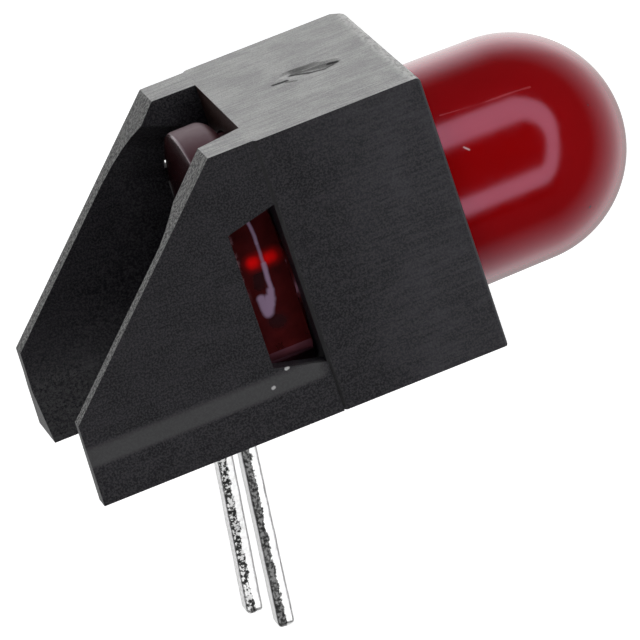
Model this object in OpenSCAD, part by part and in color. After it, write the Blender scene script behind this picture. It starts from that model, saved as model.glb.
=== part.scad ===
// Right-angle through-hole LED indicator: a moulded black housing that stands on a circuit board,
// a round red LED pushed in from behind until its flange snaps into the side windows, and two
// leads bent down to the board. The LED looks along +X and the board is the plane z = 0. The
// origin lies midway between the two leads, where they pass through the board. Millimetres.

/* [Housing] */
// Thickness of the front block above the LED's bore
roof_t = 0.63; // [0.5:0.01:1.2]
// Thickness of the front block below the LED's bore
floor_t = 0.31; // [0.27:0.01:0.6]
// Thickness of the front block on each side of the LED's bore
side_t = 0.585; // [0.56:0.005:1.1]
// Length of the housing, from its front face to the rear end of its side walls
housing_l = 9.02; // [8.2:0.02:10.5]
// Length of the front block, from its front face back to the seat of the LED's flange
block_l = 3.68; // [3:0.02:4.4]
// Radius of the front block's top front edge
top_edge_r = 0.12; // [0.04:0.02:0.5]
// Radius of the front block's other front edges
front_edge_r = 0.06; // [0.02:0.02:0.3]
// Length of the bevel at the rear end of the front block's sides
step_l = 0.07; // [0.04:0.01:0.3]

/* [Side walls] */
// How far the outer face of each side wall is set in from the front block's side
wall_inset = 0.09; // [0.04:0.01:0.12]
// Thickness of each side wall, level with the LED
wall_t = 0.4; // [0.38:0.01:0.6]
// Length of the level top of each side wall, behind the front block
wall_top_l = 0.98; // [0.6:0.02:2]
// Height of each side wall at its rear end
wall_rear_h = 1.79; // [1.6:0.01:2.4]
// How much shorter each side wall is at the top of its rear end than at the board
wall_rear_set = 0.05; // [0:0.01:0.3]
// Height of the thicker rail along the foot of each side wall
rail_h = 0.87; // [0.6:0.01:1.1]
// Height of the bevel on top of that rail
rail_bevel = 0.39; // [0.2:0.01:0.45]
// Width of the slot between the side walls at the top
top_slot_w = 3.88; // [3.4:0.02:4.6]
// Width of the slot between the side walls at the board
foot_slot_w = 3.2; // [3.1:0.02:4]
// Height of the slope on the inner side of each wall's foot
foot_h = 0.87; // [0.5:0.01:1.1]
// How far the near foot's slope stops short of the wall's rear end
near_foot_set = 0.3; // [0:0.05:1]
// Height of the window in each side wall, at its rear edge
window_h = 3.03; // [2.6:0.01:3.4]
// How much further the window reaches up and down at its front edge
window_flare = 0.27; // [0:0.01:0.3]
// How much higher the far window reaches
far_window_rise = 0.25; // [0:0.01:0.3]

/* [LED body] */
// Diameter of the LED's body where it leaves its flange
body_d = 5.08; // [4.96:0.02:5.16]
// How much the LED's body narrows from its flange to its domed end, in diameter
body_draft = 0.18; // [0.1:0.01:0.3]
// Length of the LED's body, from the rear of its flange to the tip of its dome
body_l = 9.03; // [8:0.01:10]
// Diameter of the flange
flange_d = 5.8; // [5.6:0.05:5.85]
// Thickness of the flange
flange_t = 1.05; // [0.9:0.01:1.2]
// Length of the narrower collar on the front of the flange, which rests on the front block
collar_l = 0.17; // [0.1:0.01:0.3]
// Width of the ring where the collar rests on the front block
collar_seat_w = 0.06; // [0.03:0.01:0.08]
// Distance of the flange's flat, on the side of the shorter lead, from the LED's axis
flange_flat = 2.5; // [2.45:0.05:2.7]
// Clearance round the LED's body in its bore
bore_gap = 0.05; // [0.02:0.01:0.08]
// Clearance round the flange in the channel behind the front block
flange_gap = 0.1; // [0.05:0.05:0.2]
// Clearance between the rear of the flange and the windows' rear edge
snap_gap = 0.05; // [0.04:0.01:0.2]

/* [Leads] */
// Distance between the two leads
lead_pitch = 2.54; // [2.3:0.02:2.7]
// Width of a lead, across the board
lead_w = 0.5; // [0.4:0.05:0.6]
// Thickness of the sheet that the leads are stamped from
lead_t = 0.38; // [0.3:0.02:0.5]
// Straight length of a lead between the flange and its bend
lead_stub = 0.02; // [0.02:0.01:0.6]
// Bend radius of the leads, at the middle of the sheet
bend_r = 0.5; // [0.4:0.05:0.9]
// Length of the shorter lead below the board
cathode_below = 4.62; // [2.5:0.01:9]
// Length of the longer lead below the board
anode_below = 5.06; // [2.5:0.01:10]
// Backward lean of the shorter lead from upright, in degrees
cathode_lean_angle = 6.5; // [0:0.5:10]
// Backward lean of the longer lead from upright, in degrees
anode_lean_angle = 7.7; // [0:0.1:10]

/* [Inside the LED] */
// Distance of the reflector cup's rim from the rear of the flange
cup_rim_l = 5; // [4.4:0.1:5.6]
// Outer diameter of the reflector cup
cup_d = 1.3; // [1.2:0.05:1.5]
// Diameter of the reflector's mouth
cup_mouth_d = 1.04; // [0.94:0.02:1.1]
// Diameter of the reflector's floor
cup_floor_d = 0.6; // [0.5:0.02:0.7]
// Depth of the reflector
cup_depth = 0.36; // [0.3:0.02:0.5]
// Length of the solid metal behind the reflector's floor
cup_base_l = 0.5; // [0.3:0.05:0.8]
// Length of the tapered neck that carries the reflector cup
neck_l = 1.3; // [0.8:0.1:2]
// Width of the head of the longer lead
post_w = 0.62; // [0.5:0.02:0.7]
// Distance of that head's middle from the LED's axis
post_y = 1.24; // [1.15:0.01:1.3]
// Length of that head
post_l = 0.9; // [0.5:0.05:1.2]
// Side of the square light-emitting chip
chip_w = 0.3; // [0.2:0.02:0.34]
// Thickness of the chip
chip_t = 0.2; // [0.12:0.02:0.24]
// Thickness of the cement under the chip
cement_t = 0.03; // [0.02:0.01:0.05]
// Margin of the cement round the chip
cement_margin = 0.04; // [0.02:0.01:0.06]
// Diameter of the bond wire
wire_d = 0.04; // [0.03:0.01:0.06]

/* [Hidden] */
$fn = 96;
// Margin by which a cutter runs past what it cuts
past = 1;

// A lead runs level out of the flange, turns down round bend_r and leans back: this is how far
// behind the start of its bend it meets the board.
function bend_run(lean) = bend_r * cos(lean) + (axis_h - bend_r * (1 - sin(lean))) * tan(lean);

bore_d = body_d + 2 * bore_gap;
dome_d = body_d - body_draft;
// Height of the LED's axis above the board
axis_h = floor_t + bore_d / 2;
housing_h = axis_h + bore_d / 2 + roof_t;
housing_w = bore_d + 2 * side_t;
bend_x = bend_run((cathode_lean_angle + anode_lean_angle) / 2);
flange_x = bend_x + lead_stub;
seat_x = flange_x + flange_t;
front_x = seat_x + block_l;
rear_x = front_x - housing_l;
wall_top_x = seat_x - wall_top_l;
wall_rear_x = rear_x + wall_rear_set;
wall_y = housing_w / 2 - wall_inset;
inner_y = wall_y - wall_t;
foot_y = foot_slot_w / 2;
channel_r = flange_d / 2 + flange_gap;
collar_r = bore_d / 2 + collar_seat_w;
window_x = flange_x - snap_gap;
dome_x = flange_x + body_l - dome_d / 2;

cathode_y = -lead_pitch / 2;
anode_y = lead_pitch / 2;
cup_rim_x = flange_x + cup_rim_l;
cup_floor_x = cup_rim_x - cup_depth;
cup_base_x = cup_floor_x - cup_base_l;
neck_x = cup_base_x - neck_l;
chip_x = cup_floor_x + cement_t;
chip_top_x = chip_x + chip_t;
wire_r = post_y / 2;

// Lays a profile drawn as (x, z) across the housing, centred on it
module across(width) {
    rotate([90, 0, 0]) linear_extrude(width, center = true) children();
}

// Runs a profile drawn as (y, z) along the LED, from x_from to x_to
module along(x_from, x_to) {
    translate([x_from, 0, 0]) rotate([90, 0, 90]) linear_extrude(x_to - x_from) children();
}

// What rounding takes off a corner at the origin that fills the quarter x < 0, y < 0
module corner_waste(r) {
    difference() {
        translate([-r, -r]) square(r + past);
        translate([-r, -r]) circle(r);
        translate([-2 * r - past, -r]) square([r + past, r + 2 * past]);
    }
}

module block_side_view() {
    difference() {
        translate([seat_x, 0]) square([block_l, housing_h]);
        translate([front_x, housing_h]) corner_waste(top_edge_r);
        translate([front_x, 0]) mirror([0, 1]) corner_waste(front_edge_r);
    }
}

module block_plan() {
    difference() {
        polygon([
            [seat_x, -wall_y], [seat_x + step_l, -housing_w / 2], [front_x, -housing_w / 2],
            [front_x, housing_w / 2], [seat_x + step_l, housing_w / 2], [seat_x, wall_y],
        ]);
        for (side = [0, 1]) mirror([0, side])
            translate([front_x, housing_w / 2]) corner_waste(front_edge_r);
    }
}

module front_block() {
    intersection() {
        across(housing_w + past) block_side_view();
        linear_extrude(housing_h) block_plan();
    }
}

module wall_side_view() {
    polygon([
        [rear_x, 0], [seat_x, 0], [seat_x, housing_h],
        [wall_top_x, housing_h], [wall_rear_x, wall_rear_h],
    ]);
}

module wall_end_view() {
    rail_y = housing_w / 2;
    polygon([
        [-rail_y, 0], [rail_y, 0], [rail_y, rail_h], [wall_y, rail_h + rail_bevel],
        [wall_y, housing_h], [-wall_y, housing_h], [-wall_y, rail_h + rail_bevel],
        [-rail_y, rail_h],
    ]);
}

// The open way through which the LED is pushed in, seen from behind
module channel_end_view() {
    intersection() {
        translate([0, axis_h]) circle(channel_r);
        translate([-inner_y, -past]) square([2 * inner_y, housing_h + 2 * past]);
    }
    translate([-top_slot_w / 2, axis_h]) square([top_slot_w, housing_h + past - axis_h]);
    polygon([
        [-inner_y, axis_h], [-inner_y, foot_h], [-foot_y, 0], [-foot_y, -past],
        [foot_y, -past], [foot_y, 0], [inner_y, foot_h], [inner_y, axis_h],
    ]);
}

module side_walls() {
    difference() {
        intersection() {
            across(housing_w + past) wall_side_view();
            along(rear_x, seat_x) wall_end_view();
        }
        along(rear_x - past, seat_x) channel_end_view();
        translate([rear_x - past, -inner_y, -past])
            cube([past + near_foot_set, inner_y, axis_h + past]);
        across(housing_w + past) window_side_view(0);
        translate([0, housing_w / 2, 0]) across(housing_w) window_side_view(far_window_rise);
    }
}

module window_side_view(rise) {
    half = window_h / 2;
    polygon([
        [window_x, axis_h - half], [seat_x, axis_h - half - window_flare],
        [seat_x, axis_h + half + window_flare + rise], [window_x, axis_h + half + rise],
    ]);
}

module housing() {
    color([0.11, 0.11, 0.12])
    difference() {
        union() {
            front_block();
            side_walls();
        }
        translate([seat_x - past, 0, axis_h]) rotate([0, 90, 0])
            cylinder(h = block_l + 2 * past, d = bore_d);
    }
}

// Half of the resin body's section, drawn as (radius, distance from the flange's rear)
module lens_section() {
    dome_l = dome_x - flange_x;
    rim_t = flange_t - collar_l;
    difference() {
        polygon([
            [0, 0], [flange_d / 2, 0], [flange_d / 2, rim_t], [collar_r, rim_t],
            [collar_r, flange_t], [body_d / 2, flange_t], [dome_d / 2, dome_l], [0, dome_l],
        ]);
        translate([flange_d / 2, rim_t]) corner_waste(flange_d / 2 - collar_r);
    }
    intersection() {
        translate([0, dome_l]) circle(d = dome_d);
        translate([0, dome_l]) square(dome_d / 2);
    }
}

module lens_form() {
    difference() {
        translate([flange_x, 0, axis_h]) rotate([0, 90, 0]) rotate_extrude() lens_section();
        translate([flange_x - past, -flange_flat - flange_d, axis_h - flange_d])
            cube([flange_t + past, flange_d, 2 * flange_d]);
    }
}

// The cast resin body, which holds the metal, chip and wire without a gap
module lens() {
    color([0.62, 0.02, 0.04])
    difference() {
        lens_form();
        cathode_metal();
        anode_metal();
        chip_form();
        cement_form();
        wire_form();
    }
}

// The bend and the straight run down through the board, of the lead at y
module lead_outside(y, lean, below) {
    translate([bend_x, y, axis_h - bend_r]) {
        rotate([90, 0, 0]) rotate([0, 0, 90]) rotate_extrude(angle = 90 - lean)
            translate([bend_r - lead_t / 2, -lead_w / 2]) square([lead_t, lead_w]);
        run = (axis_h - bend_r * (1 - sin(lean)) + below) / cos(lean);
        translate([-bend_r * cos(lean), 0, bend_r * sin(lean)]) rotate([0, lean, 0])
            translate([-lead_t / 2, -lead_w / 2, -run]) cube([lead_t, lead_w, run]);
    }
}

// A flat stamping in the sheet's level plane, drawn as (x, y)
module stamped() {
    translate([0, 0, axis_h - lead_t / 2]) linear_extrude(lead_t) children();
}

module cathode_metal() {
    lead_outside(cathode_y, cathode_lean_angle, cathode_below);
    stamped() polygon([
        [bend_x, cathode_y - lead_w / 2], [neck_x, cathode_y - lead_w / 2],
        [cup_base_x, -cup_d / 2], [cup_floor_x, -cup_d / 2], [cup_floor_x, cup_d / 2],
        [cup_base_x, cup_d / 2], [neck_x, cathode_y + lead_w / 2], [bend_x, cathode_y + lead_w / 2],
    ]);
    difference() {
        translate([cup_base_x, 0, axis_h]) rotate([0, 90, 0])
            cylinder(h = cup_rim_x - cup_base_x, d = cup_d);
        translate([cup_floor_x, 0, axis_h]) rotate([0, 90, 0])
            cylinder(h = cup_depth, d1 = cup_floor_d, d2 = cup_mouth_d);
    }
}

module anode_metal() {
    lead_outside(anode_y, anode_lean_angle, anode_below);
    post_x = chip_top_x - post_l;
    stamped() polygon([
        [bend_x, anode_y - lead_w / 2], [post_x, anode_y - lead_w / 2],
        [post_x + lead_w, post_y - post_w / 2], [chip_top_x, post_y - post_w / 2],
        [chip_top_x, post_y + post_w / 2], [post_x + lead_w, post_y + post_w / 2],
        [post_x, anode_y + lead_w / 2], [bend_x, anode_y + lead_w / 2],
    ]);
}

module chip_form() {
    translate([chip_x, -chip_w / 2, axis_h - chip_w / 2]) cube([chip_t, chip_w, chip_w]);
}

module cement_form() {
    side = chip_w + 2 * cement_margin;
    translate([cup_floor_x, -side / 2, axis_h - side / 2]) cube([cement_t, side, side]);
}

// A half ring from the chip's top to the end of the longer lead
module wire_form() {
    translate([chip_top_x, wire_r, axis_h]) rotate([0, 0, -90]) rotate_extrude(angle = 180)
        translate([wire_r, 0]) circle(d = wire_d, $fn = 24);
}

module anode_lead() {
    color([0.8, 0.8, 0.82]) anode_metal();
}

module cathode_lead() {
    color([0.8, 0.8, 0.82]) cathode_metal();
}

module led_chip() {
    color([0.5, 0.42, 0.2]) chip_form();
}

module die_attach() {
    color([0.7, 0.7, 0.68]) cement_form();
}

module bond_wire() {
    color([0.9, 0.75, 0.3]) wire_form();
}

housing();
lens();
anode_lead();
cathode_lead();
led_chip();
die_attach();
bond_wire();
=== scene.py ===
import math

import bmesh
import bpy
from mathutils import Matrix, Vector, noise


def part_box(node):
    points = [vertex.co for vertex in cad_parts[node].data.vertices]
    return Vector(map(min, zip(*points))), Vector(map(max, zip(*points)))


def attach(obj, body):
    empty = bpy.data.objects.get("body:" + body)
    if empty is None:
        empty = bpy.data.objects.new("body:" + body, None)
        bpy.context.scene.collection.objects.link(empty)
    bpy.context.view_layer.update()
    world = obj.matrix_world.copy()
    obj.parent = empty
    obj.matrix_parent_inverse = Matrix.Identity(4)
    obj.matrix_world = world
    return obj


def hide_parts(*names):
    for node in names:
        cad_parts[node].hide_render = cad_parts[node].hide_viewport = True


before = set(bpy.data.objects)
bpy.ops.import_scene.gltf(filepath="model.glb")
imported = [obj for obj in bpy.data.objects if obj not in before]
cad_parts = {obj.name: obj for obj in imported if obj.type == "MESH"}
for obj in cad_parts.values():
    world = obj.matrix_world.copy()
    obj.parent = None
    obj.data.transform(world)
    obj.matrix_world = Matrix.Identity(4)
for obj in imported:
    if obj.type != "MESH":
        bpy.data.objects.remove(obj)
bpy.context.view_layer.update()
MM = 0.001

# Places, from the frame
housing_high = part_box("housing")[1]
lens_low, lens_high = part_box("lens")

# Camera, at the photograph's viewing angle
AIM = Vector((2.513, 0.227, 0.849)) * MM
AZIMUTH = math.radians(-8.673)
ELEVATION = math.radians(19.012)
ROLL = math.radians(-18.811)
DISTANCE = 151.26 * MM
LENS_MM = 405.5
SENSOR_MM = 36.0
CLIP = (0.01, 20.0)

# A soft ring of light on the camera's side of the object, on a plane square to the camera's axis.
# It is measured in tangents of the angle off that axis: the plane's half width, and the left,
# right, low and high edge, corner radius and softness of the ring's outline and of its hole.
RING_DISTANCE = 0.25
RING_RADIANCE = 3.3
RING_PLANE = 1.5
RING_OUTER = (-0.75, 1.12, -0.98, 1.25, 0.65, 0.20)
RING_INNER = (-3.0, 0.72, -0.50, 0.54, 0.42, 0.14)

# The surround's grey, and its strength on the camera's side and behind the object
SURROUND_GREY = 0.8
SURROUND_FRONT = 0.09
SURROUND_BACK = 2.4
# Share of the strength behind the object that is left straight behind it
SURROUND_STRAIGHT = 0.28
# Strength added behind and above
SURROUND_TOP = 1.2
# The middle of each of the three, as a direction right, up and back in the camera's axes, and the
# cosines of the angle off it between which the light changes
BACK_AXIS, BACK_COSINES = (0.06, -0.08, -1.0), (0.0, 0.95)
STRAIGHT_AXIS, STRAIGHT_COSINES = (0.0, 0.0, -1.0), (0.70, 1.0)
TOP_AXIS, TOP_COSINES = (-0.15, 0.6, -0.8), (0.76, 1.0)

# The floor's place and half width in metres, its grey, and its glow towards the camera
FLOOR_LEVEL = -0.16
FLOOR_HALF = 3.0
FLOOR_GREY = 0.55
FLOOR_GLOW = 0.90

# The leads: place across, and backward lean from upright
CATHODE_LEAN = math.radians(6.5)
ANODE_LEAN = math.radians(7.7)
LEADS = {
    "cathode_lead": (-1.27 * MM, CATHODE_LEAN),
    "anode_lead": (1.27 * MM, ANODE_LEAN),
}


def camera_axes():
    """Right, up and backward (towards the camera) as unit vectors."""
    back = Vector((
        math.sin(AZIMUTH) * math.cos(ELEVATION),
        -math.cos(AZIMUTH) * math.cos(ELEVATION),
        math.sin(ELEVATION),
    ))
    level = Vector((math.cos(AZIMUTH), math.sin(AZIMUTH), 0.0))
    above = back.cross(level)
    right = level * math.cos(ROLL) + above * math.sin(ROLL)
    up = back.cross(right)
    return right, up, back


def axes_matrix(right, up, back, place):
    return Matrix((
        (right.x, up.x, back.x, place.x),
        (right.y, up.y, back.y, place.y),
        (right.z, up.z, back.z, place.z),
        (0.0, 0.0, 0.0, 1.0),
    ))


def add_object(name, data):
    made = bpy.data.objects.new(name, data)
    bpy.context.scene.collection.objects.link(made)
    return made


def make_camera():
    right, up, back = camera_axes()
    data = bpy.data.cameras.new("camera")
    data.lens = LENS_MM
    data.sensor_width = SENSOR_MM
    data.clip_start, data.clip_end = CLIP
    camera = add_object("camera", data)
    camera.matrix_world = axes_matrix(right, up, back, AIM + back * DISTANCE)
    bpy.context.scene.camera = camera


make_camera()


# Shader nodes


def rgb(red, green, blue):
    return (red, green, blue, 1.0)


class Nodes:
    """Shorthand for the nodes of one tree. A value is a socket, a number or a tuple."""

    def __init__(self, tree):
        self.tree = tree

    def node(self, kind, **settings):
        made = self.tree.nodes.new(kind)
        for key, value in settings.items():
            setattr(made, key, value)
        return made

    def put(self, value, socket):
        if isinstance(value, bpy.types.NodeSocket):
            self.tree.links.new(value, socket)
        else:
            socket.default_value = value

    def math(self, operation, *values, clamp=False):
        made = self.node("ShaderNodeMath", operation=operation, use_clamp=clamp)
        for value, socket in zip(values, made.inputs):
            self.put(value, socket)
        return made.outputs[0]

    def plus(self, first, second, clamp=False):
        return self.math("ADD", first, second, clamp=clamp)

    def minus(self, first, second):
        return self.math("SUBTRACT", first, second)

    def product(self, *values):
        result = values[0]
        for value in values[1:]:
            result = self.math("MULTIPLY", result, value)
        return result

    def largest(self, *values):
        result = values[0]
        for value in values[1:]:
            result = self.math("MAXIMUM", result, value)
        return result

    def vector(self, operation, *values, scale=None):
        made = self.node("ShaderNodeVectorMath", operation=operation)
        for value, socket in zip(values, made.inputs):
            self.put(value, socket)
        if scale is not None:
            self.put(scale, made.inputs["Scale"])
        one_number = operation in ("DOT_PRODUCT", "DISTANCE")
        return made.outputs["Value" if one_number else "Vector"]

    def split(self, place):
        made = self.node("ShaderNodeSeparateXYZ")
        self.put(place, made.inputs[0])
        return made.outputs

    def facing(self):
        """The surface's normal, as x, y and z."""
        return self.split(self.node("ShaderNodeNewGeometry").outputs["Normal"])

    def mix(self, factor, first, second):
        made = self.node("ShaderNodeMix", data_type="RGBA")
        self.put(factor, made.inputs[0])
        self.put(first, made.inputs[6])
        self.put(second, made.inputs[7])
        return made.outputs[2]

    def ramp(self, value, low, high, to_low=0.0, to_high=1.0, smooth=True):
        made = self.node("ShaderNodeMapRange", clamp=True)
        made.interpolation_type = "SMOOTHSTEP" if smooth else "LINEAR"
        self.put(value, made.inputs["Value"])
        ends = {"From Min": low, "From Max": high, "To Min": to_low, "To Max": to_high}
        for name, number in ends.items():
            made.inputs[name].default_value = number
        return made.outputs[0]

    def fall(self, value, low, high):
        """1 below low, 0 above high."""
        return self.ramp(value, low, high, 1.0, 0.0)

    def within(self, value, low, low_full, high_full, high):
        """1 from low_full to high_full, 0 below low and above high."""
        return self.product(self.ramp(value, low, low_full), self.fall(value, high_full, high))

    def noise(self, place, scale, detail=3.0, roughness=0.55):
        made = self.node("ShaderNodeTexNoise")
        self.put(place, made.inputs["Vector"])
        made.inputs["Scale"].default_value = scale
        made.inputs["Detail"].default_value = detail
        made.inputs["Roughness"].default_value = roughness
        return made.outputs["Fac"]

    def shake(self, place, scale, reach):
        """The place, moved by up to about half of reach by a noise."""
        made = self.node("ShaderNodeTexNoise")
        self.put(place, made.inputs["Vector"])
        made.inputs["Scale"].default_value = scale
        made.inputs["Detail"].default_value = 2.0
        shift = self.vector("SUBTRACT", made.outputs["Color"], (0.5, 0.5, 0.5))
        return self.vector("ADD", place, self.vector("SCALE", shift, scale=reach))

    def stroke(self, place, start, end, radius, soft, strength=1.0):
        """The strength within radius of the line from start to end, falling to 0 over soft."""
        start, end = Vector(start), Vector(end)
        run = end - start
        from_start = self.vector("SUBTRACT", place, start)
        along = self.vector("DOT_PRODUCT", from_start, run / run.length_squared)
        along = self.plus(along, 0.0, clamp=True)
        nearest = self.vector("SCALE", run, scale=along)
        gap = self.vector("DISTANCE", from_start, nearest)
        return self.ramp(gap, radius, radius + soft, strength, 0.0)

    def strokes(self, place, rows):
        return self.largest(*[self.stroke(place, *row) for row in rows])


class Finish(Nodes):
    """A new material. Its coordinates are the object's own, in millimetres."""

    def __init__(self, name):
        self.material = bpy.data.materials.new(name)
        self.material.use_nodes = True
        super().__init__(self.material.node_tree)
        self.shader = self.tree.nodes["Principled BSDF"]
        place = self.node("ShaderNodeTexCoord").outputs["Object"]
        self.mm = self.vector("SCALE", place, scale=1.0 / MM)

    def stretched_noise(self, stretch, scale, detail, roughness):
        return self.noise(self.vector("MULTIPLY", self.mm, stretch), scale, detail, roughness)

    def bump(self, height, distance_mm, strength=1.0, normal=None):
        made = self.node("ShaderNodeBump")
        self.put(height, made.inputs["Height"])
        made.inputs["Distance"].default_value = distance_mm * MM
        made.inputs["Strength"].default_value = strength
        if normal is not None:
            self.put(normal, made.inputs["Normal"])
        return made.outputs[0]

    def set(self, **values):
        for key, value in values.items():
            self.put(value, self.shader.inputs[key.replace("_", " ")])
        return self.material


# Marks that the materials draw as strokes, in millimetres. A row is the start, the end, the radius
# and the softness of a stroke, and its strength where that isn't 1.
TOP_MM = 6.12
FLAT_MM = -2.5


def on_top(*rows):
    """Strokes on the housing's top, from rows that give x and y."""
    return [((*start, TOP_MM), (*end, TOP_MM), *rest) for start, end, *rest in rows]


def on_flat(*rows):
    """Strokes on the flange's flat, from rows that give x and z."""
    return [
        ((start[0], FLAT_MM, start[1]), (end[0], FLAT_MM, end[1]), *rest)
        for start, end, *rest in rows
    ]


GATE_MARK = on_top(
    ((3.12, -0.08), (3.41, -0.12), 0.020, 0.06),
    ((3.37, -0.22), (3.56, -0.35), 0.012, 0.06, 0.55),
    ((3.57, 0.10), (3.94, -0.21), 0.020, 0.07, 0.90),
    ((3.94, -0.21), (4.22, -0.32), 0.020, 0.06, 0.85),
    ((4.22, -0.32), (4.47, -0.22), 0.015, 0.06, 0.80),
    ((3.72, 0.20), (4.37, -0.16), 0.070, 0.16, 0.62),
    ((3.65, 0.40), (4.19, 0.33), 0.020, 0.12, 0.50),
    ((4.38, -0.10), (4.49, -0.15), 0.050, 0.07),
)
GATE_SCOOP = on_top(((3.60, 0.20), (4.35, -0.08), 0.10, 0.20))
# Pale strokes on the gate scar's edges: painted highlights
GATE_RIDGE_HIGHLIGHTS = on_top(
    ((3.85, 0.12), (4.20, 0.12), 0.008, 0.05),
    ((4.22, 0.36), (4.50, 0.12), 0.008, 0.05),
    ((3.22, 0.10), (3.50, 0.24), 0.008, 0.05),
)
# Small pale nicks on the housing's near side
NICKS = (
    ((1.02, -3.085, 1.29), (1.06, -3.085, 1.30), 0.020, 0.03),
    ((0.62, -3.140, 1.02), (0.65, -3.140, 1.03), 0.016, 0.03),
)
# Painted shadows, a painted highlight line with a hooked end, and painted red glints
FLAT_PAINTED_SHADOWS = on_flat(
    ((1.20, 3.20), (1.14, 3.00), 0.05, 0.16),
    ((1.22, 2.15), (1.30, 2.10), 0.05, 0.20),
)
FLAT_HIGHLIGHT_LINE = on_flat(
    ((1.33, 4.33), (1.37, 3.85), 0.010, 0.045),
    ((1.37, 3.85), (1.37, 3.40), 0.006, 0.050, 0.75),
    ((1.37, 3.40), (1.33, 2.85), 0.016, 0.060),
    ((1.31, 2.80), (1.25, 2.50), 0.035, 0.080),
    ((1.24, 2.62), (1.14, 2.38), 0.070, 0.100),
    ((1.08, 2.68), (1.10, 2.42), 0.045, 0.080),
)
FLAT_GLINTS = on_flat(
    ((1.14, 3.50), (1.19, 3.50), 0.01, 0.20),
    ((1.50, 3.48), (1.57, 3.48), 0.01, 0.20),
    ((1.14, 3.50), (1.60, 3.48), 0.02, 0.26, 0.35),
)
# A painted reflection line, a pale chip and two dark specks on the LED's body
LENS_REFLECTION_LINE = (
    ((5.97, -1.704, 4.716), (6.83, -1.762, 4.659), 0.004, 0.035),
    ((6.83, -1.762, 4.659), (7.94, -1.723, 4.572), 0.004, 0.035),
)
LENS_CHIP = (((6.143, -2.211, 4.046), (6.225, -2.250, 3.965), 0.010, 0.025),)
LENS_SPECKS = (
    ((8.312, -1.977, 1.735), (8.322, -1.977, 1.745), 0.018, 0.020),
    ((8.990, -1.713, 3.740), (9.000, -1.713, 3.740), 0.020, 0.020, 0.5),
)


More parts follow.
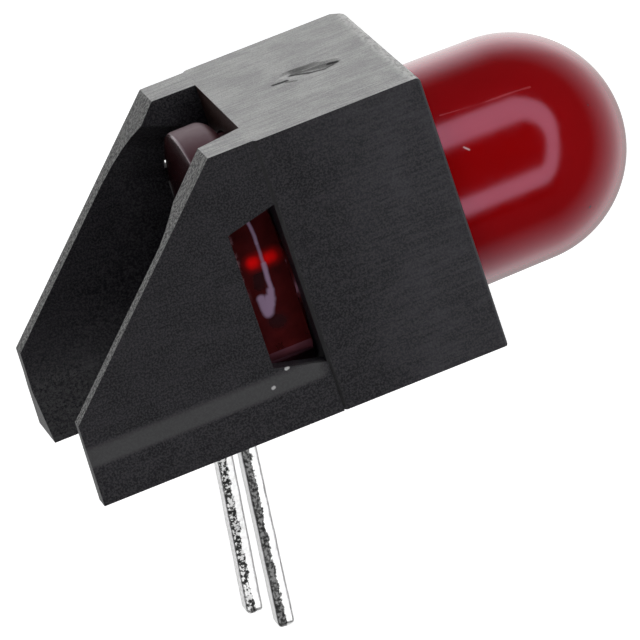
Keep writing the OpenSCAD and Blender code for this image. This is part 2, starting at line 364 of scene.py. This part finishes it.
def black_nylon():
    t = Finish("black_nylon")
    x, y, z = t.split(t.mm)
    off_middle = t.math("ABSOLUTE", y)
    facing_x, facing_y, facing_z = t.facing()

    grain = t.noise(t.mm, 22.0, 3.0, 0.7)
    mottle = t.noise(t.mm, 1.4, 3.0)
    streaks = t.stretched_noise((0.55, 6.0, 6.0), 2.2, 4.0, 0.6)
    brushed = t.ramp(t.plus(t.product(streaks, 0.6), t.product(mottle, 0.4)), 0.40, 0.62)
    speckle = t.ramp(t.noise(t.mm, 24.0, 2.0, 0.7), 0.40, 0.64)
    coarse = t.ramp(t.noise(t.mm, 14.0, 3.0, 0.8), 0.43, 0.59)

    # Where each surface is
    above_foot = t.largest(t.ramp(z, 1.6, 2.0), t.fall(facing_x, -0.5, -0.3))
    upward = t.product(t.ramp(facing_z, 0.55, 0.9), above_foot)
    block = t.ramp(x, 2.2, 4.6)
    rail_painted_highlight = t.product(
        t.within(z, 0.80, 0.92, 1.16, 1.34), t.fall(x, 1.6, 1.9), t.ramp(off_middle, 2.90, 3.00),
    )
    step_painted_light = t.product(t.fall(facing_x, -0.7, -0.5), t.fall(facing_y, -0.6, -0.4))
    rear_slope = t.product(t.within(facing_z, 0.5, 0.6, 0.8, 0.9), t.fall(facing_x, -0.6, -0.4))
    foot_painted_light = t.product(
        t.fall(z, 0.7, 1.5), t.fall(off_middle, 2.80, 2.90), t.fall(x, -2.6, -1.2),
    )
    notch_painted_reflection = t.product(
        t.fall(facing_x, -0.95, -0.85), t.fall(off_middle, 1.9, 2.1), t.ramp(z, 4.6, 4.8),
    )
    far_window_edge = t.product(
        t.ramp(y, 2.55, 2.60), t.within(x, 0.70, 0.74, 1.10, 1.20),
        t.within(z, 2.0, 2.2, 4.50, 4.60),
    )

    # Wear, marks and painted highlights
    edge = t.node("ShaderNodeAttribute", attribute_name="edge").outputs["Fac"]
    worn = t.product(edge, t.ramp(t.noise(t.mm, 9.0, 3.0), 0.38, 0.62))
    front_wear_and_sheen = t.product(
        t.ramp(x, 5.24, 5.40), t.ramp(facing_z, 0.3, 0.5),
        t.ramp(t.stretched_noise((2.5, 1.0, 1.0), 6.0, 4.0, 0.75), 0.38, 0.56),
    )
    front_line = t.product(t.ramp(x, 5.485, 5.515), t.fall(facing_y, -0.8, -0.6))
    shaken = t.shake(t.mm, 7.0, 0.08)
    mark = t.strokes(shaken, GATE_MARK)
    scoop = t.strokes(shaken, GATE_SCOOP)
    ridge_highlights = t.strokes(shaken, GATE_RIDGE_HIGHLIGHTS)
    nicks = t.strokes(t.mm, NICKS)

    wall_colour = t.mix(brushed, rgb(0.0040, 0.0032, 0.0060), rgb(0.0115, 0.0102, 0.0140))
    block_colour = t.mix(brushed, rgb(0.0175, 0.0165, 0.0205), rgb(0.0350, 0.0335, 0.0400))
    painted_top_sheen = t.mix(brushed, rgb(0.250, 0.250, 0.250), rgb(0.430, 0.430, 0.424))
    slope_grain_and_sheen = t.mix(coarse, rgb(0.004, 0.004, 0.004), rgb(0.270, 0.270, 0.265))
    base = t.mix(block, wall_colour, block_colour)
    # The rail's sloped top is painted lighter: a painted highlight
    base = t.mix(t.product(rail_painted_highlight, 0.8), base, rgb(0.060, 0.060, 0.062))
    # The slanted step face on the near side is painted lighter: painted light where it falls dark
    base = t.mix(t.product(step_painted_light, 0.7), base, rgb(0.050, 0.050, 0.052))
    # Upward faces are painted pale grey: a painted sheen of light on the black top
    base = t.mix(upward, base, painted_top_sheen)
    base = t.mix(t.product(speckle, 0.8), base, t.mix(0.5, base, rgb(0.070, 0.070, 0.072)))
    # The rear slope is painted grey with coarse grain: grain, and a painted sheen of light on the
    # slope
    base = t.mix(rear_slope, base, slope_grain_and_sheen)
    # The inner side of each foot is painted lighter and mottled towards the rear: painted light on
    # its ledge
    base = t.mix(t.product(foot_painted_light, t.product(coarse, 0.7)), base, rgb(0.060, 0.060, 0.062))
    # The wall at the notch's front is painted red-brown: a painted reflection of the lens
    base = t.mix(notch_painted_reflection, base, rgb(0.060, 0.030, 0.026))
    base = t.mix(t.product(worn, 0.5), base, rgb(0.12, 0.12, 0.12))
    base = t.mix(t.product(front_line, 0.6), base, rgb(0.085, 0.085, 0.092))
    # The top front edge is painted pale: partly wear, partly a painted highlight
    base = t.mix(t.product(front_wear_and_sheen, 0.80), base, rgb(0.58, 0.58, 0.57))
    base = t.mix(t.product(mark, 0.95), base, rgb(0.004, 0.004, 0.004))
    # Pale strokes on the gate scar's edges: painted highlights
    base = t.mix(t.product(ridge_highlights, 0.6), base, rgb(0.42, 0.42, 0.41))
    base = t.mix(nicks, base, rgb(0.45, 0.45, 0.45))

    rough = t.ramp(streaks, 0.3, 0.7, 0.34, 0.46, smooth=False)
    rough = t.plus(rough, t.product(mark, 0.55), clamp=True)
    rough = t.plus(rough, t.product(rear_slope, t.plus(0.04, t.product(coarse, 0.22))))
    # The far window's edge is dull where it shows past the flange
    rough = t.plus(rough, t.product(far_window_edge, 0.6), clamp=True)

    normal = t.bump(streaks, 0.010, 0.8)
    normal = t.bump(grain, 0.014, 1.0, normal)
    normal = t.bump(t.product(scoop, -1.0), 0.05, 1.0, normal)
    return t.set(Base_Color=base, Roughness=rough, Normal=normal, Specular_IOR_Level=0.14)


def red_resin():
    t = Finish("red_resin")
    x, y, z = t.split(t.mm)
    facing_x = t.facing()[0]
    wander = t.shake(t.mm, 1.6, 0.10)
    smudge = t.noise(t.mm, 3.5, 4.0, 0.65)
    haze = t.noise(t.mm, 0.9, 3.0)
    cloud = t.noise(t.mm, 26.0, 2.0)

    # Where each surface of the flange is
    flange = t.fall(x, 1.95, 2.05)
    flat = t.product(t.fall(y, -2.47, -2.42), flange)
    round_side = t.minus(flange, flat)
    crown = t.product(t.ramp(z, 3.6, 4.4), round_side, t.ramp(facing_x, -0.7, -0.4))
    under = t.product(t.fall(z, 1.44, 1.54), t.product(t.fall(y, -2.2, -2.1), flange))
    rim = t.product(
        t.fall(x, 0.84, 0.94), t.ramp(t.noise(t.mm, 6.0, 4.0, 0.7), 0.46, 0.6), t.ramp(z, 2.4, 3.6),
    )

    body_colour = t.mix(haze, rgb(0.235, 0.0010, 0.0016), rgb(0.290, 0.0014, 0.0022))
    base = t.mix(t.product(cloud, 0.10), body_colour, rgb(0.42, 0.004, 0.006))
    # The flange is painted very dark red: painted shade inside the housing
    base = t.mix(t.product(flange, 0.92), base, rgb(0.016, 0.0016, 0.0020))
    # The flat is painted dark as painted shade, with painted shadows, a painted highlight line,
    # painted red glints and a painted highlight along its rear rim
    flat_shade_colour = t.mix(smudge, rgb(0.014, 0.0016, 0.0016), rgb(0.060, 0.0060, 0.0060))
    painted_shadows = t.product(t.strokes(t.mm, FLAT_PAINTED_SHADOWS), 0.75)
    flat_shade_colour = t.mix(painted_shadows, flat_shade_colour, rgb(0.0100, 0.0050, 0.0060))
    base = t.mix(flat, base, flat_shade_colour)
    # Painted red glints of light inside the resin
    glints = t.product(flat, t.strokes(wander, FLAT_GLINTS))
    base = t.mix(glints, base, rgb(0.62, 0.002, 0.002))
    # A painted highlight line with a hooked end
    line = t.product(flat, t.product(t.strokes(wander, FLAT_HIGHLIGHT_LINE), 0.8))
    base = t.mix(line, base, rgb(0.27, 0.19, 0.29))
    # The flat's rear rim is painted paler: a painted highlight
    base = t.mix(t.product(flat, t.product(rim, 0.7)), base, rgb(0.22, 0.12, 0.14))
    # Small marks on the body, and a painted reflection line
    reflection_line = t.strokes(t.mm, LENS_REFLECTION_LINE)
    chipped = t.strokes(t.mm, LENS_CHIP)
    specks = t.strokes(t.mm, LENS_SPECKS)
    # A thin lighter red line on the body's top: a painted reflection
    base = t.mix(t.product(reflection_line, 0.28), base, rgb(0.55, 0.045, 0.030))
    base = t.mix(t.product(chipped, 0.8), base, rgb(0.75, 0.66, 0.66))
    base = t.mix(specks, base, rgb(0.020, 0.001, 0.002))

    rough = t.ramp(t.noise(t.mm, 5.0, 3.0), 0.3, 0.7, 0.12, 0.17, smooth=False)
    rough = t.plus(rough, t.product(t.largest(reflection_line, chipped, specks), 0.3))
    rough = t.plus(rough, t.product(round_side, 0.06))
    rough = t.plus(rough, t.product(crown, 0.32))
    rough = t.plus(rough, t.product(under, 0.6))

    normal = t.bump(t.noise(t.mm, 2.2, 2.0), 0.004, 0.35)
    # The flat leans a little: its height falls evenly with z
    normal = t.bump(t.product(flat, z, -0.26), 1.0, 1.0, normal)
    return t.set(
        Base_Color=base, Roughness=rough, Normal=normal, IOR=1.52,
        Specular_Tint=rgb(1.0, 0.56, 0.82),
    )


def tinned_metal():
    """Bright solder, with a ragged dark band on the rear half of each lead's sides: painted shade.
    """
    t = Finish("tinned_metal")
    x, y, z = t.split(t.mm)
    facing_x = t.facing()[0]
    pits = t.noise(t.mm, 4.5, 4.0, 0.7)
    fine = t.noise(t.mm, 15.0, 3.0, 0.6)

    # Place across a lead's side face, from its leaning middle line. far is 1 on the longer lead.
    far = t.ramp(y, -0.1, 0.1)
    slant = t.plus(
        math.tan(CATHODE_LEAN), t.product(far, math.tan(ANODE_LEAN) - math.tan(CATHODE_LEAN)),
    )
    start = t.minus(0.026, t.product(far, 0.052))
    across = t.minus(t.minus(x, start), t.product(slant, z))
    ragged = t.plus(across, t.product(t.minus(pits, 0.5), 0.26))
    flecks = t.product(t.ramp(fine, 0.50, 0.56), t.plus(0.08, t.product(far, 0.55)))
    rear_face = t.fall(facing_x, -0.85, -0.45)
    painted_dark_band = t.product(
        t.fall(ragged, -0.005, 0.020), t.fall(z, 0.4, 0.8),
        t.minus(1.0, flecks), t.minus(1.0, t.product(rear_face, 0.75)),
    )

    solder = t.mix(t.ramp(fine, 0.35, 0.65), rgb(0.80, 0.80, 0.80), rgb(0.92, 0.92, 0.92))
    dark = t.mix(t.ramp(fine, 0.36, 0.62), rgb(0.018, 0.018, 0.018), rgb(0.105, 0.105, 0.105))
    # The dark band is painted shade on the bright solder
    base = t.mix(painted_dark_band, solder, dark)
    rough = t.ramp(pits, 0.3, 0.7, 0.46, 0.36, smooth=False)
    normal = t.bump(fine, 0.004, 0.6, t.bump(pits, 0.010, 0.6))
    return t.set(Base_Color=base, Roughness=rough, Normal=normal, Metallic=1.0)


def chip():
    t = Finish("chip")
    grid = t.noise(t.mm, 60.0, 2.0)
    base = t.mix(grid, rgb(0.30, 0.23, 0.09), rgb(0.42, 0.34, 0.16))
    return t.set(Base_Color=base, Roughness=0.3, Normal=t.bump(grid, 0.002, 0.4))


def silver_cement():
    t = Finish("silver_cement")
    flakes = t.noise(t.mm, 80.0, 3.0, 0.7)
    base = t.mix(flakes, rgb(0.42, 0.42, 0.40), rgb(0.75, 0.75, 0.72))
    return t.set(
        Base_Color=base, Roughness=0.55, Metallic=0.6, Normal=t.bump(flakes, 0.003, 0.7),
    )


def gold_wire():
    t = Finish("gold_wire")
    drawn = t.noise(t.mm, 50.0, 2.0)
    base = t.mix(drawn, rgb(0.85, 0.62, 0.20), rgb(0.95, 0.75, 0.32))
    return t.set(Base_Color=base, Roughness=0.22, Metallic=1.0, Normal=t.bump(drawn, 0.001, 0.3))


MATERIALS = {
    "black_nylon": black_nylon(),
    "red_resin": red_resin(),
    "tinned_metal": tinned_metal(),
    "chip": chip(),
    "silver_cement": silver_cement(),
    "gold_wire": gold_wire(),
}
SLOTS = {
    "housing": "black_nylon",
    "lens": "red_resin",
    "anode_lead": "tinned_metal",
    "cathode_lead": "tinned_metal",
    "led_chip": "chip",
    "die_attach": "silver_cement",
    "bond_wire": "gold_wire",
}
for node_name, slot_name in SLOTS.items():
    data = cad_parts[node_name].data
    data.materials.clear()
    data.materials.append(MATERIALS[slot_name])


# Pieces


def finish_piece(mesh, name, node_name):
    """Makes the mesh a piece that rides on the body and stands for a CAD node."""
    mesh.materials.clear()
    mesh.materials.append(MATERIALS[SLOTS[node_name]])
    piece = add_object(name, mesh)
    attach(piece, "root")
    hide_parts(node_name)


def node_bmesh(node_name):
    """A working copy of a CAD node's mesh, with its vertices joined."""
    work = bmesh.new()
    work.from_mesh(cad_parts[node_name].data)
    bmesh.ops.remove_doubles(work, verts=work.verts, dist=1e-7)
    return work


def smooth(work):
    for face in work.faces:
        face.smooth = True


def to_mesh(work, name):
    """The working mesh as a mesh. The working mesh is freed."""
    mesh = bpy.data.meshes.new(name)
    work.to_mesh(mesh)
    work.free()
    return mesh


def cut_off(work, place, direction, front):
    """Cuts the working mesh at a plane, drops what is in front or behind, and closes the cut."""
    bmesh.ops.bisect_plane(
        work, geom=work.verts[:] + work.edges[:] + work.faces[:], dist=1e-8,
        plane_co=place, plane_no=direction, clear_outer=front, clear_inner=not front,
    )
    bmesh.ops.holes_fill(work, edges=[e for e in work.edges if e.is_boundary])


def weighted_normals(mesh, weight):
    """The mesh with normals that follow its larger faces."""
    holder = add_object("weighted", mesh)
    modifier = holder.modifiers.new("weighted", "WEIGHTED_NORMAL")
    modifier.mode = "FACE_AREA"
    modifier.weight = weight
    modifier.keep_sharp = True
    seen = holder.evaluated_get(bpy.context.evaluated_depsgraph_get())
    result = bpy.data.meshes.new_from_object(seen)
    bpy.data.objects.remove(holder)
    bpy.data.meshes.remove(mesh)
    return result


# Housing

BEVEL = 0.014 * MM
SHARP_ANGLE = math.radians(25.0)
FLAT_ANGLE = math.radians(1.0)
HOUSING_WEIGHT = 100
# How near a vertex lies to the corner and to the slope it belongs to, in millimetres
NEAR_MM = 0.02
NEAR_SLOPE_MM = 0.03
# The far window's rear edge in the wall's outer side: its x, and what y it lies beyond
WINDOW_EDGE_X = 0.773 * MM
WINDOW_EDGE_Y = 3.075 * MM
WINDOW_SLANT = 0.12 * MM
WEB_LOW = Vector((0.70, 2.70, 4.12)) * MM
WEB_HIGH = Vector((0.97, 3.07, 4.42)) * MM
WORN_CORNER_SLOPE = Vector((0.62, 0.48, 0.62)).normalized()
WORN_CORNER_DEPTH = 0.17 * MM
# The sloping rear is where x - z is this, in millimetres
REAR_SLOPE_MM = -5.218
# Corners of the channel's edge in the sloping rear: y and z in the solid, and in this piece
REAR_EDGE_MM = (
    (-2.685, 1.790, -2.755, 1.790),
    (-2.685, 4.238, -2.750, 4.620),
    (-2.543, 4.491, -2.640, 4.860),
    (-2.378, 4.729, -2.510, 5.030),
    (-2.171, 4.970, -2.400, 5.150),
    (-1.940, 5.188, -2.290, 5.270),
    (-1.940, 6.120, -2.220, 6.120),
    (2.685, 1.790, 2.620, 1.790),
    (2.685, 4.238, 2.620, 4.600),
    (2.536, 4.503, 2.540, 4.950),
    (2.361, 4.751, 2.410, 5.220),
    (2.162, 4.980, 2.220, 5.470),
    (1.940, 5.188, 1.900, 5.720),
    (1.940, 6.120, 1.980, 6.120),
)


def slant_far_window(work):
    """Slants the far window's rear edge forward, so that no light shows past the flange."""
    for vert in work.verts:
        if vert.co.y > WINDOW_EDGE_Y and abs(vert.co.x - WINDOW_EDGE_X) < NEAR_MM * MM:
            vert.co.x += WINDOW_SLANT


def flare_channel(work):
    """Widens the channel behind the flange, where its edges meet the sloping rear."""
    for vert in work.verts:
        at = vert.co / MM
        if abs(at.x - at.z - REAR_SLOPE_MM) >= NEAR_SLOPE_MM:
            continue
        for y, z, new_y, new_z in REAR_EDGE_MM:
            if abs(at.y - y) < NEAR_MM and abs(at.z - z) < NEAR_MM:
                vert.co += Vector((new_z - z, new_y - y, new_z - z)) * MM
                break


def add_web(work):
    """Closes the far window's upper rear corner down to the flange."""
    made = bmesh.ops.create_cube(work, size=1.0)["verts"]
    size = WEB_HIGH - WEB_LOW
    for vert in made:
        vert.co = Vector([WEB_LOW[i] + (vert.co[i] + 0.5) * size[i] for i in range(3)])


def make_housing():
    """The housing's solid with its moulding details and a fine bevel on every sharp edge."""
    work = node_bmesh("housing")
    slant_far_window(work)
    flare_channel(work)
    add_web(work)
    # The far top front corner is worn off
    corner = housing_high - WORN_CORNER_SLOPE * WORN_CORNER_DEPTH
    cut_off(work, corner, WORN_CORNER_SLOPE, front=True)
    bmesh.ops.dissolve_limit(work, angle_limit=FLAT_ANGLE, verts=work.verts, edges=work.edges)
    sharp = [
        e for e in work.edges
        if len(e.link_faces) == 2 and e.calc_face_angle(0.0) > SHARP_ANGLE
    ]
    beveled = bmesh.ops.bevel(
        work, geom=sharp, offset=BEVEL, offset_type="OFFSET", segments=2, profile=0.5,
        affect="EDGES", clamp_overlap=True, loop_slide=True,
    )
    work.faces.index_update()
    edge_faces = {f.index for f in beveled["faces"] if f.is_valid}
    smooth(work)
    mesh = to_mesh(work, "housing_shell")
    edge = mesh.attributes.new("edge", "FLOAT", "FACE")
    for index in edge_faces:
        edge.data[index].value = 1.0
    finish_piece(weighted_normals(mesh, HOUSING_WEIGHT), "housing_shell", "housing")


# LED body

AXIS_Z = (lens_low.z + lens_high.z) / 2
FLANGE_X = lens_low.x
FLAT_Y = FLAT_MM * MM
BODY_R = 2.54 * MM
DOME_R = 2.45 * MM
RIM_R = 2.93 * MM
TIP_X = lens_high.x + 0.05 * MM
# The flange's thickness and the radius of its front rim, at the sides and at the top
RIM_SIDE = (0.99 * MM, 0.05 * MM)
RIM_TOP = (0.88 * MM, 0.34 * MM)
# The flange's rear, from its middle to its rounded rim: distance along the LED and radius
REAR_MM = (
    (-0.03, 0.0), (-0.03, 1.2), (-0.03, 2.4), (-0.03, 2.84), (-0.02, 2.875), (0.01, 2.90),
    (0.06, 2.925),
)
# The small fillet between the flange's front and the body
FILLET_R = 2.56 * MM
FILLET_L = 0.02 * MM
# The rim goes over from side to top where the cosine of the angle from upright rises from this
# value, over this span
RIM_TOP_FROM, RIM_TOP_SPAN = 0.60, 0.25
SHOULDER_STEPS, BODY_STEPS, DOME_STEPS, LENS_AROUND = 12, 12, 40, 192
LENS_WEIGHT = 60


def lens_profile(rim_t, shoulder):
    """Half of the resin body's section: distance from the flange's rear, and radius."""
    points = [(along * MM, radius * MM) for along, radius in REAR_MM]
    for i in range(SHOULDER_STEPS + 1):
        turn = math.radians(90.0 * i / SHOULDER_STEPS)
        points.append((
            rim_t - shoulder + shoulder * math.sin(turn),
            RIM_R - shoulder + shoulder * math.cos(turn),
        ))
    points += [(rim_t, FILLET_R), (rim_t + FILLET_L, BODY_R)]
    dome_at = TIP_X - DOME_R - FLANGE_X
    for i in range(1, BODY_STEPS + 1):
        share = i / BODY_STEPS
        points.append((
            rim_t + (dome_at - rim_t) * share, BODY_R + (DOME_R - BODY_R) * share,
        ))
    for i in range(1, DOME_STEPS + 1):
        turn = math.radians(90.0 * i / DOME_STEPS)
        points.append((dome_at + DOME_R * math.sin(turn), DOME_R * math.cos(turn)))
    return points


def lens_ring(work, side, top):
    """A ring of the resin body, whose profile goes over from side to top near the top."""
    if side[1] < 1e-9:
        return [work.verts.new((FLANGE_X + side[0], 0.0, AXIS_Z))]
    ring = []
    for i in range(LENS_AROUND):
        turn = 2 * math.pi * i / LENS_AROUND
        share = min(1.0, max(0.0, (math.cos(turn) - RIM_TOP_FROM) / RIM_TOP_SPAN))
        share = share * share * (3 - 2 * share)
        along = side[0] + (top[0] - side[0]) * share
        radius = side[1] + (top[1] - side[1]) * share
        ring.append(work.verts.new((
            FLANGE_X + along, radius * math.sin(turn), AXIS_Z + radius * math.cos(turn),
        )))
    return ring


def join_rings(work, rings):
    """Faces between each ring and the next. A ring of one vertex closes in a fan."""
    for first, second in zip(rings, rings[1:]):
        around = max(len(first), len(second))
        for i in range(around):
            j = (i + 1) % around
            corners = (
                first[i % len(first)], first[j % len(first)],
                second[j % len(second)], second[i % len(second)],
            )
            work.faces.new(list(dict.fromkeys(corners)))


def make_lens():
    work = bmesh.new()
    profiles = zip(lens_profile(*RIM_SIDE), lens_profile(*RIM_TOP))
    rings = [lens_ring(work, side, top) for side, top in profiles]
    join_rings(work, rings)
    bmesh.ops.recalc_face_normals(work, faces=work.faces)
    # The flange's flat, on the shorter lead's side
    flange_end = FLANGE_X + RIM_SIDE[0] + 0.001 * MM
    for vert in work.verts:
        if vert.co.x < flange_end and vert.co.y < FLAT_Y:
            vert.co.y = FLAT_Y
    smooth(work)
    mesh = weighted_normals(to_mesh(work, "lens_body"), LENS_WEIGHT)
    finish_piece(mesh, "lens_body", "lens")


# Leads

LEAD_HALF_W = 0.25 * MM
LEAD_HALF_T = 0.19 * MM
BEND_R = 0.5 * MM
LEAD_STUB = 0.02 * MM
# How far the dipped part reaches into the flange, and where the solid's own inner part takes over
LEAD_INTO_FLANGE = 0.30 * MM
LEAD_TAKEOVER = 0.25 * MM
BEND_STEPS = 16
RUN_STEP = 0.03 * MM
LEAD_AROUND = 40
# The section is a superellipse of this power, which rounds the bar's corners
SECTION_POWER = 7.0
# The tip: its coat inside the solid's end, the length of its rounding, and its smallest share
TIP_INSET = 0.004 * MM
TIP_LENGTH = 0.16 * MM
TIP_POWER = 2.2
TIP_SHARE = 0.12
# The coat's waves: noise scale per millimetre, height in millimetres, and where the noise starts
WAVES = ((2.3, 0.008, (3.1, 7.7)), (6.5, 0.003, (9.2, 1.3)))
# Above this the coat is smoother
COAT_TOP = 0.4 * MM
COAT_ABOVE = 0.3


def lead_path(y, lean, tip_z):
    """Points down the middle of a lead from inside the flange to its tip, with directions."""
    rearward = Vector((-1, 0, 0))
    bend_x = FLANGE_X - LEAD_STUB
    points = [
        (Vector((FLANGE_X + LEAD_INTO_FLANGE, y, AXIS_Z)), rearward),
        (Vector((bend_x, y, AXIS_Z)), rearward),
    ]
    for i in range(1, BEND_STEPS + 1):
        turn = (math.pi / 2 - lean) * i / BEND_STEPS
        place = Vector((
            bend_x - BEND_R * math.sin(turn), y, AXIS_Z - BEND_R + BEND_R * math.cos(turn),
        ))
        points.append((place, Vector((-math.cos(turn), 0, -math.sin(turn)))))
    start, down = points[-1][0], Vector((-math.sin(lean), 0, -math.cos(lean)))
    run = (start.z - tip_z) / math.cos(lean)
    steps = int(run / RUN_STEP)
    for i in range(1, steps + 1):
        points.append((start + down * run * i / steps, down))
    return points


def coat(spot, y):
    """Height of the solder's waves at a spot of the lead at y, in millimetres."""
    height = sum(
        noise.noise(spot / MM * scale + Vector((first, y / MM, last))) * size
        for scale, size, (first, last) in WAVES
    )
    return height if spot.z < COAT_TOP else height * COAT_ABOVE


def lead_ring(work, place, direction, y, to_tip):
    """A ring of the dipped lead, which narrows over the last stretch before its tip."""
    side = Vector((0, 1, 0))
    out = direction.cross(side)
    squeeze = math.sqrt(max(0.0, 1.0 - max(0.0, 1.0 - to_tip / TIP_LENGTH) ** TIP_POWER))
    squeeze = max(squeeze, TIP_SHARE)
    power = 2.0 / SECTION_POWER
    ring = []
    for i in range(LEAD_AROUND):
        turn = 2 * math.pi * i / LEAD_AROUND
        c, s = math.cos(turn), math.sin(turn)
        across = math.copysign(abs(c) ** power, c) * LEAD_HALF_W * squeeze
        thick = math.copysign(abs(s) ** power, s) * LEAD_HALF_T * squeeze
        spot = place + side * across + out * thick
        normal = side * across / LEAD_HALF_W ** 2 + out * thick / LEAD_HALF_T ** 2
        ring.append(work.verts.new(spot + normal.normalized() * coat(spot, y) * MM))
    return ring


def make_lead(node_name):
    """A solder-dipped lead: a rounded bar swept down its path, uneven where the solder ran."""
    y, lean = LEADS[node_name]
    solid_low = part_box(node_name)[0]
    path = lead_path(y, lean, solid_low.z + TIP_INSET)
    tip = path[-1][0]
    work = bmesh.new()
    rings = [
        lead_ring(work, place, direction, y, (tip - place).length) for place, direction in path
    ]
    join_rings(work, rings)
    work.faces.new(rings[0])
    work.faces.new(list(reversed(rings[-1])))
    bmesh.ops.recalc_face_normals(work, faces=work.faces)
    smooth(work)

    # The part inside the LED, as the solid has it
    inner = node_bmesh(node_name)
    cut_off(inner, (FLANGE_X + LEAD_TAKEOVER, 0, 0), (1, 0, 0), front=False)
    inner_mesh = to_mesh(inner, "inner")
    work.from_mesh(inner_mesh)
    bpy.data.meshes.remove(inner_mesh)

    name = node_name + "_dipped"
    finish_piece(to_mesh(work, name), name, node_name)


make_housing()
make_lens()
for node_name in LEADS:
    make_lead(node_name)


# Studio


def bare_material(name):
    """A material with no nodes, and the shorthand for its tree."""
    material = bpy.data.materials.new(name)
    material.use_nodes = True
    material.node_tree.nodes.clear()
    return material, Nodes(material.node_tree)


def make_plane(name, half, level):
    """A level square mesh round the vertical axis."""
    mesh = bpy.data.meshes.new(name)
    corners = [(-half, -half), (half, -half), (half, half), (-half, half)]
    mesh.from_pydata([(x, y, level) for x, y in corners], [], [(0, 1, 2, 3)])
    return mesh


def floor_material():
    """Grey to the light, with a glow to the camera that leaves the object's shadow to be seen."""
    material, t = bare_material("floor")
    path = t.node("ShaderNodeLightPath").outputs
    seen = t.largest(path["Is Camera Ray"], path["Is Glossy Ray"], path["Is Transmission Ray"])
    diffuse = t.node("ShaderNodeBsdfDiffuse")
    t.put(rgb(FLOOR_GREY, FLOOR_GREY, FLOOR_GREY), diffuse.inputs["Color"])
    glow = t.node("ShaderNodeEmission")
    t.put(t.product(seen, FLOOR_GLOW), glow.inputs["Strength"])
    both = t.node("ShaderNodeAddShader")
    t.put(diffuse.outputs[0], both.inputs[0])
    t.put(glow.outputs[0], both.inputs[1])
    t.put(both.outputs[0], t.node("ShaderNodeOutputMaterial").inputs["Surface"])
    return material


def make_floor():
    mesh = make_plane("floor", FLOOR_HALF, FLOOR_LEVEL)
    mesh.materials.append(floor_material())
    floor = add_object("floor", mesh)
    # The surround alone lights the object from below
    floor.visible_glossy = False
    floor.visible_diffuse = False
    floor.visible_transmission = False


def ring_material():
    """Light from a rounded ring with soft edges, open on the left."""
    material, t = bare_material("soft_ring")
    place = t.node("ShaderNodeTexCoord").outputs["Object"]
    x, y, _ = t.split(t.vector("SCALE", place, scale=1.0 / RING_DISTANCE))

    def past(value, middle, half):
        """How far the value lies outside the half width round the middle."""
        return t.math("MAXIMUM", t.minus(t.math("ABSOLUTE", t.minus(value, middle)), half), 0.0)

    def inside(left, right, low, high, radius, soft):
        """1 inside a rounded rectangle, falling to 0 over soft across its edge."""
        off_x = past(x, (left + right) / 2, (right - left) / 2 - radius)
        off_y = past(y, (low + high) / 2, (high - low) / 2 - radius)
        off = t.math("SQRT", t.plus(t.product(off_x, off_x), t.product(off_y, off_y)))
        return t.fall(off, radius - soft / 2, radius + soft / 2)

    lit = t.product(inside(*RING_OUTER), t.minus(1.0, inside(*RING_INNER)))
    glow = t.node("ShaderNodeEmission")
    t.put(t.product(lit, RING_RADIANCE), glow.inputs["Strength"])
    t.put(glow.outputs[0], t.node("ShaderNodeOutputMaterial").inputs["Surface"])
    return material


def make_ring():
    right, up, back = camera_axes()
    mesh = make_plane("soft_ring", RING_PLANE * RING_DISTANCE, 0.0)
    mesh.materials.append(ring_material())
    ring = add_object("soft_ring", mesh)
    ring.matrix_world = axes_matrix(right, up, back, AIM + back * RING_DISTANCE)
    ring.visible_camera = False


def make_world():
    """White to the camera. To the object, bright behind and above, dark on the camera's side."""
    right, up, back = camera_axes()
    world = bpy.data.worlds.new("world")
    bpy.context.scene.world = world
    world.use_nodes = True
    world.node_tree.nodes.clear()
    t = Nodes(world.node_tree)
    direction = t.node("ShaderNodeTexCoord").outputs["Generated"]

    def change(axis, cosines, strengths, smooth=True):
        """The first strength far off the axis, and the second close to it."""
        axis = (right * axis[0] + up * axis[1] + back * axis[2]).normalized()
        return t.ramp(t.vector("DOT_PRODUCT", direction, axis), *cosines, *strengths, smooth)

    behind = change(BACK_AXIS, BACK_COSINES, (SURROUND_FRONT, SURROUND_BACK), smooth=False)
    straight = change(STRAIGHT_AXIS, STRAIGHT_COSINES, (1.0, SURROUND_STRAIGHT))
    top = change(TOP_AXIS, TOP_COSINES, (0.0, SURROUND_TOP))
    surround = t.node("ShaderNodeBackground")
    t.put(rgb(SURROUND_GREY, SURROUND_GREY, SURROUND_GREY), surround.inputs["Color"])
    t.put(t.plus(t.product(behind, straight), top), surround.inputs["Strength"])
    white = t.node("ShaderNodeBackground")
    t.put(rgb(1.0, 1.0, 1.0), white.inputs["Color"])
    either = t.node("ShaderNodeMixShader")
    t.put(t.node("ShaderNodeLightPath").outputs["Is Camera Ray"], either.inputs[0])
    t.put(surround.outputs[0], either.inputs[1])
    t.put(white.outputs[0], either.inputs[2])
    t.put(either.outputs[0], t.node("ShaderNodeOutputWorld").inputs["Surface"])


make_floor()
make_ring()
make_world()
bpy.context.scene.view_settings.view_transform = "Standard"
